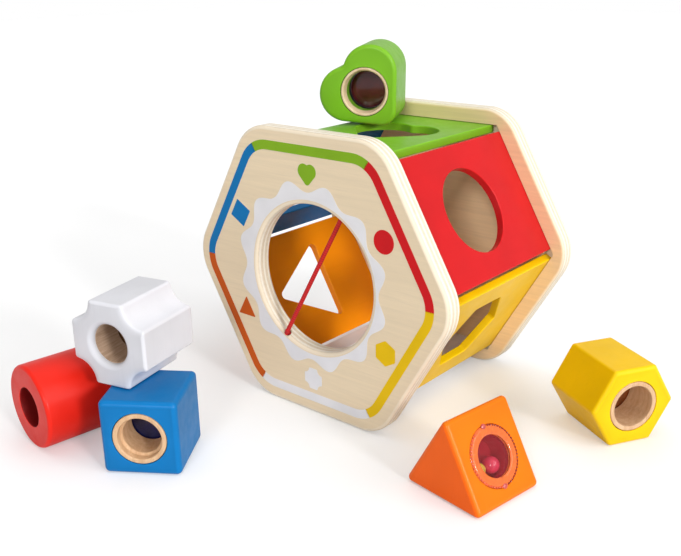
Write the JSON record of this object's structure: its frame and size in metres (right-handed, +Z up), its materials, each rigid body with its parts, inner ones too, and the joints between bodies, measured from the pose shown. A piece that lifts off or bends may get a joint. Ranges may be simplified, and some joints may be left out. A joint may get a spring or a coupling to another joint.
{
  "type": "shape sorter",
  "caption": "Hexagonal wooden drum with a round window and a shaped hole in each side board, with matching blocks that have peepholes and a rattle.",
  "frame": {"origin": "on the surface it stands on, under the centre of the box round the drum and its scattered blocks", "axes": "-Y towards the side with the round window, along the drum's axis; +X to the right as seen from there; +Z up"},
  "size_m": [0.2962, 0.268, 0.2093],
  "materials": {
    "plywood": "clear matte lacquer over pale plywood, ply edges showing",
    "paint_green": "smooth green paint on wood, satin",
    "paint_red": "smooth red paint on wood, satin",
    "paint_yellow": "smooth yellow paint on wood, satin",
    "paint_white": "smooth white paint on wood, satin",
    "paint_orange": "smooth orange paint on wood, satin",
    "paint_blue": "smooth blue paint on wood, satin",
    "elastic": "round braided elastic",
    "liner_wood": "turned, clear-finished wood",
    "lens_red": "tinted clear plastic",
    "lens_blue": "tinted clear plastic",
    "lens_amber": "tinted clear plastic",
    "lens_brown": "tinted clear plastic",
    "clear_cap": "clear plastic, polished",
    "bead_pink": "glossy moulded plastic",
    "bead_yellow": "glossy moulded plastic"
  },
  "bodies": {
    "drum": {"front_plate": "plywood", "rear_plate": "plywood", "board_green": "paint_green", "board_red": "paint_red", "board_yellow": "paint_yellow", "board_white": "paint_white", "board_orange": "paint_orange", "board_blue": "paint_blue", "elastic_cord": "elastic", "elastic_knot_lower": "elastic", "elastic_knot_upper": "elastic"},
    "heart": {"heart_block": "paint_green", "heart_ring_front": "liner_wood", "heart_ring_rear": "liner_wood", "heart_lens": "lens_red"},
    "cube": {"cube_block": "paint_blue", "cube_liner_front": "liner_wood", "cube_liner_rear": "liner_wood", "cube_lens": "lens_blue"},
    "hexagon": {"hexagon_block": "paint_yellow", "hexagon_liner_front": "liner_wood", "hexagon_liner_rear": "liner_wood", "hexagon_lens": "lens_amber"},
    "cross": {"cross_block": "paint_white", "cross_sleeve_front": "liner_wood", "cross_sleeve_rear": "liner_wood", "cross_lens": "lens_brown"},
    "cylinder": {"cylinder_block": "paint_red", "cylinder_lens": "lens_red"},
    "triangle": {"triangle_block": "paint_orange", "rattle_cap": "clear_cap"},
    "pink_bead": {"bead_pink": "bead_pink"},
    "yellow_bead": {"bead_yellow": "bead_yellow"}
  },
  "joints": [
    {"name": "heart_lift", "type": "slide", "parent": "drum", "child": "heart", "axis": [0, 0, 1], "range_m": [0, 0.08]},
    {"name": "cube_pull", "type": "slide", "parent": "drum", "child": "cube", "axis": [0.5592, -0.829, 0], "range_m": [0, 0.08]},
    {"name": "hexagon_lift", "type": "slide", "parent": "drum", "child": "hexagon", "axis": [0, 0, 1], "range_m": [0, 0.08]},
    {"name": "cross_lift", "type": "slide", "parent": "drum", "child": "cross", "axis": [0, 0, 1], "range_m": [0, 0.08]},
    {"name": "cylinder_pull", "type": "slide", "parent": "drum", "child": "cylinder", "axis": [-0.1253, -0.9921, 0], "range_m": [0, 0.08]},
    {"name": "triangle_lift", "type": "slide", "parent": "drum", "child": "triangle", "axis": [0.342, 0, 0.9397], "range_m": [0, 0.08]},
    {"name": "pink_bead_roll", "type": "slide", "parent": "triangle", "child": "pink_bead", "axis": [-0.4934, 0.0808, 0.866], "range_m": [0, 0.0103]},
    {"name": "yellow_bead_roll", "type": "slide", "parent": "triangle", "child": "yellow_bead", "axis": [-0.4934, 0.0808, 0.866], "range_m": [0, 0.0096]}
  ]
}
